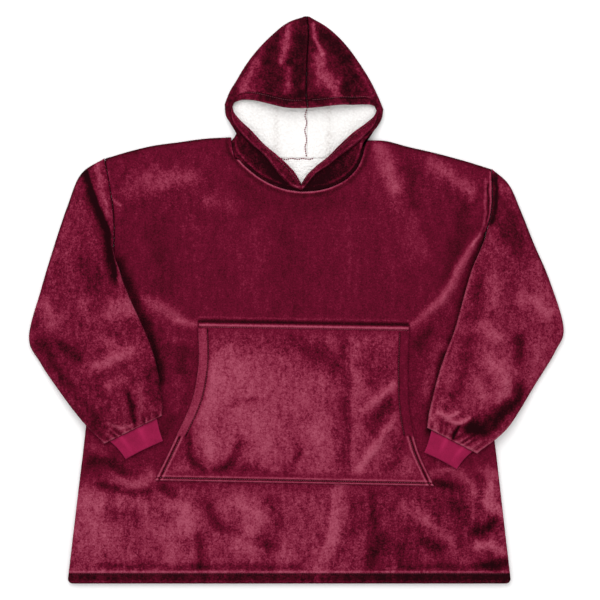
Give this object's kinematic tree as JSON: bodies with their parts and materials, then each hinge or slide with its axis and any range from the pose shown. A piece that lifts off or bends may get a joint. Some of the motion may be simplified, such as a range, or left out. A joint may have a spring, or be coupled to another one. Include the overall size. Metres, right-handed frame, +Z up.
{
  "type": "wearable blanket hoodie",
  "caption": "Oversized plush blanket hoodie with sherpa-lined hood, kangaroo pocket and ribbed cuffs, laid out flat and face up.",
  "frame": {"origin": "on the surface that the garment lies on, under the middle of its outline", "axes": "+Y runs from the hem to the top of the hood, +Z up out of the garment's front, +X to the right as the front is seen from above"},
  "size_m": [1.071, 1.1361, 0.039],
  "materials": {
    "plush": "crushed burgundy flannel fleece",
    "sherpa": "off-white curly sherpa pile",
    "rib": "fine rib knit, brighter burgundy"
  },
  "bodies": {
    "root": {"back": "plush", "front": "plush", "pocket": "plush", "sleeve_left": "plush", "sleeve_right": "plush", "hood_left": "plush", "hood_right": "plush", "cuff_left": "rib", "cuff_right": "rib", "hood_lining_left": "sherpa", "hood_lining_right": "sherpa", "back_neck_lining": "sherpa"}
  },
  "joints": []
}
